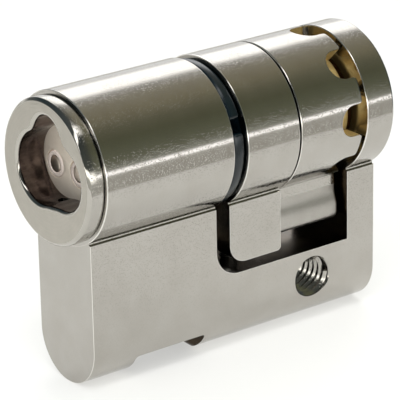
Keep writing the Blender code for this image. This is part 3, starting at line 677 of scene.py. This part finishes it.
plate = {"frontX": -28.4, "backX": -26.5, "r": 6.95, "rim": 0.1, "holeR": 1.55, "edge": 0.06}
contacts = {"main": (3.4, -0.8), "side": (-0.9, -0.8)}
insulator = {"frontX": -28.42, "backX": -26.5, "innerR": 0.97, "outerR": 1.45, "lip": 0.16}
contact = {"frontX": -28.5, "shoulderX": -26.4, "backX": -26.2, "r": 0.94, "dome": 0.1,
           "footR": 1.23}


def madePlate():
    p = plate
    body = turnedPiece("contactPlate", [(p["frontX"], 0), (p["frontX"], p["r"] - p["rim"]),
                                        (p["frontX"] + p["rim"], p["r"]),
                                        (p["backX"] - p["rim"], p["r"]),
                                        (p["backX"], p["r"] - p["rim"]), (p["backX"], 0)], 96)
    for y, z in contacts.values():
        cut(body, extrudedPiece("hole", circlePoints(y, z, p["holeR"], 48), "X",
                                p["frontX"] - 1, p["backX"] + 1))
    roundAll(body, p["edge"], 2)
    body.data.materials.append(finish["turnedRoseSteel"])
    finishPiece(body, "turning_core", "rose_steel", "contact_face")


def madeContact(which):
    y, z = contacts[which]
    i, c = insulator, contact
    lip = i["lip"]
    section = [(i["backX"], i["innerR"]), (i["frontX"] + lip / 2, i["innerR"]),
               (i["frontX"], i["innerR"] + lip / 2)]
    section += [(i["frontX"] + lip - lip * cos(radians(a)),
                 i["outerR"] - lip + lip * sin(radians(a))) for a in (0, 30, 60, 90)]
    section += [(i["backX"], i["outerR"])]
    sleeve = turnedPiece(which + "Insulator", section, 48, (0, y, z))
    sleeve.data.materials.append(finish["mouldedGreyPlastic"])
    finishPiece(sleeve, "turning_core", "grey_plastic", which + "_insulator")
    # the head's dome as (share of its depth, share of the radius)
    section = [(c["frontX"] + c["dome"] * deep, c["r"] * share) for deep, share in
               ((0, 0), (0.1, 0.4), (0.25, 0.7), (0.5, 0.88), (1, 0.97), (2, 1))]
    section += [(c["shoulderX"], c["r"]), (c["shoulderX"], c["footR"]), (c["backX"], c["footR"]),
                (c["backX"], 0)]
    rivet = turnedPiece(which + "Contact", section, 48, (0, y, z))
    rivet.data.materials.append(finish["wornContactSilver"])
    finishPiece(rivet, which + "_contact", "contact_metal", which + "_contact")


madePlate()
for which in contacts:
    madeContact(which)


# ---- snap ring between the housing and the spacer

ring = {"frontX": -13.25, "rearX": -11.75, "innerR": 6.45, "outerR": 8.2, "split": 1.5,
        "splitAngle": 160, "edge": 0.45, "steps": 144}


def madeRing():
    # the split is as wide at the outside as at the inside
    g = ring
    outline = []
    for r, order in ((g["outerR"], 1), (g["innerR"], -1)):
        half = g["split"] / (2 * r)
        for part in range(g["steps"] + 1)[::order]:
            a = radians(g["splitAngle"]) + half + (2 * pi - 2 * half) * part / g["steps"]
            outline.append((r * cos(a), r * sin(a)))
    body = extrudedPiece("snapRing", outline, "X", g["frontX"], g["rearX"])
    roundAll(body, g["edge"], 3, 50)
    body.data.materials.append(finish["oiledBlackSteel"])
    finishPiece(body, "turning_core", "black_steel", "snap_ring")


madeRing()


# ---- profile spacer behind the ring

spacer = {"frontX": -11.6, "rearX": -4.5, "low": -14.25, "corner": 2.2, "heel": 0.5,
          "seatR": 7.1, "seatEnd": -10.45, "boreR": 3.1, "pinHole": (-8.05, 1.1, -20, -10.4),
          "edge": 0.12, "rearEdge": 0.1}


def madeSpacer():
    s, h = spacer, housing
    x0, x1, low, r, heel = s["frontX"], s["rearX"], s["low"], s["corner"], s["heel"]
    under, gap = h["neckZ"] - 0.02, 0.03

    def onLegEdge(a, b):
        top = max(a.z, b.z)
        atSides = all(abs(abs(p.y) - h["flangeHalf"]) < gap for p in (a, b))
        return top < under and (inPlane(a, b, 0, x0, gap) or inPlane(a, b, 0, x1, gap)
                                or atSides and top < under - 0.1)

    def onHighlightEdge(p, n):
        # painted highlight on the leg's long edges and the disc's front rim
        return p.z < under and 0.25 < abs(n.y) < 0.97 and abs(abs(p.y) - h["flangeHalf"]) < 0.2 \
            or p.yz.length > 8.35 and p.z > under and 0.15 < abs(n.x) < 0.98

    body = extrudedPiece("profileSpacer", flangeOutline(low, False), "X", x0 + faceInset,
                         x1 - faceInset)
    fromSide = [(x0, 0)] + arcPoints(x0 + r, low + r, r, 180, 270, 14) \
        + arcPoints(x1 - heel, low + heel, heel, 270, 360, 6) + [(x1, 0)]
    combine(body, extrudedPiece("sideShape", fromSide, "Y", -6, 6), "INTERSECT")
    roundEdges(body, s["edge"], 2, onLegEdge)
    frontRim = [(x0 + s["edge"] - s["edge"] * cos(radians(a)),
                 h["barrelR"] - s["edge"] + s["edge"] * sin(radians(a))) for a in (0, 45, 90)]
    rearRim = [(x1 - s["rearEdge"] * along, h["barrelR"] - s["rearEdge"] * inwards)
               for along, inwards in ((1, 0), (0.3, 0.3), (0, 1))]
    join(body, turnedPiece("disc", [(x0, 0)] + frontRim + rearRim + [(x1, 0)], h["steps"]))
    cut(body, turnedPiece("bore", [(x0 - 1, 0), (x0 - 1, s["seatR"]), (s["seatEnd"], s["seatR"]),
                                   (s["seatEnd"], s["boreR"]), (x1 + 1, s["boreR"]),
                                   (x1 + 1, 0)], 96))
    cut(body, uprightRod(*s["pinHole"]))
    body.data.materials.append(finish["tumbledSatinNickel"])
    # the leg's edges and the disc's rim get a lighter nickel as a painted highlight
    paint(body, finish["paintedHighlightNickel"], onHighlightEdge)
    finishPiece(body, "fixed_housing", "nickel", "profile_spacer")


madeSpacer()


# ---- cam ring with its lever and notches, and the hub inside it

cam = {"frontX": -4.25, "rearX": 4.6, "r": 8.5, "boreR": 6.2, "edge": 0.3, "frontEdge": 0.08,
       "boreEase": (0.1, 0.15), "notches": 8, "notchWide": 3.6, "notchLong": 3.1, "flare": 0.6,
       "notchZ": (5.5, 10), "notchEdge": 0.07, "keywayZ": (-7.6, -5)}
# the shares are of the way from the ring down to the tip
lever = {"low": 13.45, "rootR": 7.3, "neckHalf": 3.55, "tipHalf": 4.0, "footHalf": 2.6,
         "sideFrom": 0.22, "sideTo": 0.78, "swellFrom": 0.3, "swellOver": 0.36,
         "corner": 0.9, "edge": 0.35, "inset": 0.02}
hub = {"frontX": -4.15, "rearX": 4.45, "r": 6.05, "frontEdge": 0.2, "rearEdge": 0.3,
       "holeX": 2.9, "holeR": 0.5, "pinHoleR": 1.15, "pinAt": 6, "holeFloor": 3.6,
       "groove": 0.11, "grooveDeep": 0.3, "flatHalf": 2.5, "boreR": 3.05, "edge": 0.04,
       "keywayZ": (-9, -4.9)}
keyHalf, keyEnd = 1.05, 0.7


def leverOutline():
    v = lever
    neck, root, low = v["neckHalf"], v["rootR"], v["low"]
    joint = sqrt(cam["r"] ** 2 - neck ** 2)
    drop = low - joint
    side = []
    for part in evenly(v["sideFrom"], v["sideTo"], 20):      # straight neck, then an even swell
        swell = min(max((part - v["swellFrom"]) / v["swellOver"], 0), 1)
        swell = swell * swell * (3 - 2 * swell)
        side.append((neck + (v["tipHalf"] - neck) * swell, -joint - drop * part))
    corner = arcPoints(v["tipHalf"] - v["corner"], -joint - drop * v["sideTo"], v["corner"],
                       0, -70, 6)[1:]
    foot = [(y, -sqrt(low ** 2 - y * y)) for y in evenly(v["footHalf"], -v["footHalf"], 14)]
    right = [(neck, -sqrt(root ** 2 - neck ** 2))] + side + corner
    left = [(-y, z) for y, z in right[::-1]]
    inner = [(y, -sqrt(root ** 2 - y * y)) for y in evenly(-neck, neck, 8)[1:-1]]
    return right + foot + left + inner


def keywayShape(zSpan, start):
    low, high = zSpan
    return extrudedPiece("keyway", [(-keyHalf, low), (keyHalf, low), (keyHalf, high),
                                    (-keyHalf, high)], "X", start, keyEnd)


def notchOutline():
    # seen from above: a round end and straight sides that flare out at the cam's rear face
    c = cam
    half, flare, x1 = c["notchWide"] / 2, c["flare"], c["rearX"]
    roundEnd = arcPoints(x1 - c["notchLong"] + half, 0, half, 270, 90, 20)
    upper = [(x1 - flare + flare * sin(radians(a)), half + flare - flare * cos(radians(a)))
             for a in (0, 22, 45, 67, 90)]
    return roundEnd + upper + [(x1 + 1, half + flare), (x1 + 1, -half - flare)] \
        + [(x, -y) for x, y in upper[::-1]]


def madeCam():
    c, v = cam, lever
    edge, (frontEase, rearEase) = c["edge"], c["boreEase"]
    body = extrudedPiece("camBody", leverOutline(), "X", c["frontX"] + v["inset"],
                         c["rearX"] - v["inset"])
    roundAll(body, v["edge"], 3, 50)
    section = [(c["frontX"], c["boreR"] + frontEase), (c["frontX"] + frontEase, c["boreR"]),
               (c["rearX"] - rearEase, c["boreR"]), (c["rearX"], c["boreR"] + rearEase)]
    section += [(c["rearX"] - edge + edge * cos(radians(a)), c["r"] - edge + edge * sin(radians(a)))
                for a in (0, 22, 45, 67, 90)]
    section += [(c["frontX"] + c["frontEdge"], c["r"]), (c["frontX"], c["r"] - c["frontEdge"])]
    join(body, turnedPiece("ring", section, housing["steps"]))
    for place in range(c["notches"]):
        if place != c["notches"] // 2:      # the lever's place has no notch
            notch = extrudedPiece("notch", notchOutline(), "Z", *c["notchZ"])
            cut(body, swung(notch, 2 * pi * place / c["notches"], "X"))
    cut(body, keywayShape(c["keywayZ"], c["frontX"] - 1))
    roundAll(body, c["notchEdge"], 2, 40)
    body.data.materials.append(finish["tumbledSatinNickel"])
    # the notches' walls, but not those beside the lever
    paint(body, finish["machinedBrass"], lambda p, n: p.x > 1.3 and 6.3 < p.yz.length < 8.35
          and abs(n.x) < 0.999 and p.z > -3.5 and abs(n.yz.dot(p.yz.normalized())) < 0.4)
    # the cam's front rim gets a lighter nickel as a painted highlight
    paint(body, finish["paintedHighlightNickel"], lambda p, n: p.x < c["frontX"] + 0.1 and p.z > -7.5
          and p.yz.length > 8.4 and 0.15 < abs(n.x) < 0.98)
    paint(body, finish["satinLeverNickel"], lambda p, n: p.z < -c["r"] - 0.02)
    finishPiece(body, "turning_core", "nickel", "cam")


def madeHub():
    b = hub
    grooveR, grooveFront, grooveRear = b["r"] - b["grooveDeep"], b["holeX"] - b["groove"], \
        b["holeX"] + b["groove"]
    rearRim = [(b["rearX"] - b["rearEdge"] * along, b["r"] - b["rearEdge"] * inwards)
               for along, inwards in ((1, 0), (0.3, 0.3), (0, 1))]
    body = turnedPiece("camHub", [(b["frontX"], 0), (b["frontX"], b["r"] - b["frontEdge"]),
                                  (b["frontX"] + b["frontEdge"], b["r"]),
                                  (grooveFront, b["r"]), (grooveFront, grooveR),
                                  (grooveRear, grooveR), (grooveRear, b["r"])] + rearRim
                       + [(b["rearX"], 0)], 96)
    # the tail shaft's bore has two flats
    bore = [(max(-b["flatHalf"], min(b["flatHalf"], y)), z)
            for y, z in circlePoints(0, 0, b["boreR"], 48)]
    cut(body, extrudedPiece("bore", bore, "X", b["frontX"] - 1, b["rearX"] + 1))
    for place in range(cam["notches"]):
        r = b["pinHoleR"] if place == b["pinAt"] else b["holeR"]
        hole = extrudedPiece("hole", circlePoints(b["holeX"], 0, r, 32), "Z", b["holeFloor"], 9)
        cut(body, swung(hole, 2 * pi * place / cam["notches"], "X"))
    cut(body, keywayShape(b["keywayZ"], b["frontX"] - 1))
    roundAll(body, b["edge"], 2, 40)
    body.data.materials.append(finish["machinedBrass"])
    finishPiece(body, "turning_core", "brass", "cam_hub")


madeCam()
madeHub()


# ---- end cover behind the cam, with two spanner holes and a small dimple in its middle

cover = {"frontX": 8.3, "rearX": 9.0, "r": 5.5, "rim": 0.2, "holeY": 3.4, "holeR": 0.6,
         "holeFloor": 0.25, "dimple": [(0, 0.9), (0.12, 0.6), (0.3, 0)], "edge": 0.05}


def madeCover():
    e = cover
    rim = [(e["rearX"] - e["rim"] * along, e["r"] - e["rim"] * inwards)
           for along, inwards in ((1, 0), (0.3, 0.3), (0, 1))]
    dimple = [(e["rearX"] - deep, r) for deep, r in e["dimple"]]
    body = turnedPiece("endCover", [(e["frontX"], 0), (e["frontX"], e["r"])] + rim + dimple, 96)
    for y in (e["holeY"], -e["holeY"]):
        cut(body, extrudedPiece("hole", circlePoints(y, 0, e["holeR"], 24), "X",
                                e["frontX"] + e["holeFloor"], e["rearX"] + 1))
    roundAll(body, e["edge"], 2, 50)
    body.data.materials.append(finish["tumbledSatinNickel"])
    finishPiece(body, "fixed_housing", "nickel", "end_cover")


madeCover()


# ---- the pieces inside keep their CAD shapes and get their own finishes

finishOfSlot = {"nickel": "tumbledSatinNickel", "rose_steel": "turnedRoseSteel",
                "brass": "machinedBrass", "bronze": "sinteredBronze",
                "black_steel": "oiledBlackSteel", "hard_steel": "groundHardSteel",
                "zinc_steel": "platedZincSteel",
                "spring_steel": "drawnSpringSteel", "contact_metal": "wornContactSilver",
                "aluminium": "drawnAluminium", "copper": "enamelledCopper",
                "rubber": "mouldedNitrile",
                "grey_plastic": "mouldedGreyPlastic", "black_plastic": "mouldedBlackPlastic",
                "board_green": "maskedGlassBoard"}
# the core sleeve is painted near black as shade behind the ring's split
finishOfNode = {"core_sleeve": "paintedShadeBrass", "front_drill_pin": "oiledBlackSteel",
                "rear_drill_pin": "oiledBlackSteel"}
for nodeName, node in cadNodes.items():
    for holder in node.material_slots:
        slotName = holder.material.name.split(".")[0]
        holder.material = finish[finishOfNode.get(nodeName, finishOfSlot[slotName])]
print("finishes given to", len(cadNodes), "CAD nodes")


# ---- floor, light and camera

floorLook = {"colour": "d0d0ce", "size": 230, "x": -20, "y": 60, "roughness": 0.9}
bpy.ops.object.select_all(action="DESELECT")
bpy.ops.mesh.primitive_plane_add(size=mm(floorLook["size"]),
                                 location=(mm(floorLook["x"]), mm(floorLook["y"]), cadBox[0].z))
floor = bpy.context.object
floor.name = "floor"
paper = bpy.data.materials.new("paleStudioPaper")
paper.use_nodes = True
paperInputs = paper.node_tree.nodes["Principled BSDF"].inputs
paperInputs["Base Color"].default_value = hexColour(floorLook["colour"])
paperInputs["Roughness"].default_value = floorLook["roughness"]
floor.data.materials.append(paper)

# What the metal mirrors: colours by the angle over the barrel, from the near horizon (0) over
# the top (90) to the far horizon (180). Middle: a bright line at the near horizon, a dark wall
# overhead and a large white panel beyond it. Key side: a bright line low down, then dark but
# for a narrow lamp. Past the rear end: a dark wall. The camera sees plain near-white instead.
roomLook = {
    "middle": [(-10, (0.56, 0.55, 0.51)), (-5, (0.56, 0.55, 0.51)), (-3.5, (2.3, 2.3, 2.35)),
               (0.1, (2.3, 2.3, 2.35)), (2.6, (0.35, 0.36, 0.32)), (14, (0.2, 0.21, 0.15)),
               (32, (0.15, 0.16, 0.105)), (44, (0.13, 0.135, 0.085)), (60, (0.17, 0.17, 0.115)),
               (80, (0.28, 0.26, 0.18)), (104, (0.38, 0.36, 0.29)), (115, (0.46, 0.45, 0.42)),
               (121, (0.62, 0.62, 0.61)), (130, (2.2, 2.2, 2.2)), (154, (2.2, 2.2, 2.2)),
               (163, (0.95, 0.96, 0.97)), (190, (0.9, 0.9, 0.9))],
    "keySide": [(-10, (0.6, 0.6, 0.57)), (-4, (2.6, 2.6, 2.5)), (4, (2.6, 2.6, 2.5)),
                (9, (0.1, 0.11, 0.1)), (61, (0.05, 0.06, 0.06)), (66, (2.4, 2.4, 2.4)),
                (75, (2.4, 2.4, 2.4)), (81, (0.1, 0.11, 0.11)), (150, (0.04, 0.06, 0.07)),
                (170, (0.15, 0.16, 0.16)), (182, (1.2, 1.2, 1.15)), (190, (1.0, 1.0, 0.97))],
    "rearSide": (0.07, 0.085, 0.09), "seen": (0.97, 0.97, 0.965)}
# the angles that the bands cover, and the X of a direction at which one set fades into the next
roomSpan = (-10.0, 190.0)
keySideFade, rearSideFade = (0.35, 0.15), (0.72, 0.86)
# a ramp holds colours up to 1, so the bands are divided by the first and glow with both
roomScale, roomGain = 3.3, 1.15


def bandRamp(tree, stops, place):
    ramp = addNode(tree, "ShaderNodeValToRGB", None, {"Fac": place})
    elements = ramp.color_ramp.elements
    for i, (angle, colour) in enumerate(stops):
        where = (angle - roomSpan[0]) / (roomSpan[1] - roomSpan[0])
        stop = elements[i] if i < 2 else elements.new(where)
        stop.position = where
        stop.color = (*[c / roomScale for c in colour], 1.0)
    return ramp.outputs["Color"]


def madeRoom():
    world = bpy.data.worlds.new("studio")
    bpy.context.scene.world = world
    world.use_nodes = True
    tree = world.node_tree
    tree.nodes.clear()
    coords = addNode(tree, "ShaderNodeTexCoord")
    parts = addNode(tree, "ShaderNodeSeparateXYZ", None, {0: coords.outputs["Generated"]})
    near = addNode(tree, "ShaderNodeMath", {"operation": "MULTIPLY", 1: -1.0},
                   {0: parts.outputs["Y"]})
    turn = addNode(tree, "ShaderNodeMath", {"operation": "ARCTAN2"},
                   {0: parts.outputs["Z"], 1: near.outputs[0]})
    place = spread(tree, turn.outputs[0], [radians(a) for a in roomSpan], (0.0, 1.0))
    keySide = spread(tree, parts.outputs["X"], keySideFade, (0.0, 1.0))
    rearSide = spread(tree, parts.outputs["X"], rearSideFade, (0.0, 1.0))
    bands = addNode(tree, "ShaderNodeMix", {"data_type": "RGBA"},
                    {0: keySide, 6: bandRamp(tree, roomLook["middle"], place),
                     7: bandRamp(tree, roomLook["keySide"], place)})
    dark = [c / roomScale for c in roomLook["rearSide"]]
    mirrored = addNode(tree, "ShaderNodeMix", {"data_type": "RGBA", 7: (*dark, 1)},
                       {0: rearSide, 6: bands.outputs[2]})
    glow = addNode(tree, "ShaderNodeBackground", {"Strength": roomScale * roomGain},
                   {"Color": mirrored.outputs[2]})
    plain = addNode(tree, "ShaderNodeBackground",
                    {"Color": (*roomLook["seen"], 1), "Strength": 1.0})
    rays = addNode(tree, "ShaderNodeLightPath")
    choice = addNode(tree, "ShaderNodeMixShader", None, {0: rays.outputs["Is Camera Ray"],
                                                         1: glow.outputs[0], 2: plain.outputs[0]})
    addNode(tree, "ShaderNodeOutputWorld", None, {0: choice.outputs[0]})


madeRoom()

# Two large soft lamps whiten the floor. They cast no shadow and the metal does not mirror them.
lamps = {"overhead": {"place": (0, 0, 900), "size": 1200, "power": 10.2},
         "near": {"place": (-500, -700, 500), "size": 900, "power": 12.4}}
for lampName, lamp in lamps.items():
    light = bpy.data.lights.new(lampName, "AREA")
    light.shape, light.size, light.energy = "SQUARE", mm(lamp["size"]), lamp["power"]
    light.use_shadow = False
    fitting = bpy.data.objects.new(lampName, light)
    bpy.context.scene.collection.objects.link(fitting)
    fitting.location = [mm(v) for v in lamp["place"]]
    fitting.rotation_euler = (-fitting.location).to_track_quat("-Z", "Y").to_euler()
    fitting.visible_glossy = fitting.visible_camera = False

view = {"place": (-169.06, -210.20, 93.24), "forward": (0.5588, 0.7471, -0.3599),
        "up": (0.2311, 0.2765, 0.9328), "lens": 230.4, "sensor": 36.0, "clip": (0.01, 20)}
lens = bpy.data.cameras.new("camera")
lens.lens, lens.sensor_width = view["lens"], view["sensor"]
lens.clip_start, lens.clip_end = view["clip"]
camera = bpy.data.objects.new("camera", lens)
bpy.context.scene.collection.objects.link(camera)
forward = Vector(view["forward"]).normalized()
right = forward.cross(Vector(view["up"])).normalized()
up = right.cross(forward)
camera.matrix_world = Matrix.Translation([mm(v) for v in view["place"]]) @ Matrix(
    (right, up, -forward)).transposed().to_4x4()
bpy.context.scene.camera = camera
bpy.context.scene.view_settings.view_transform = "Standard"
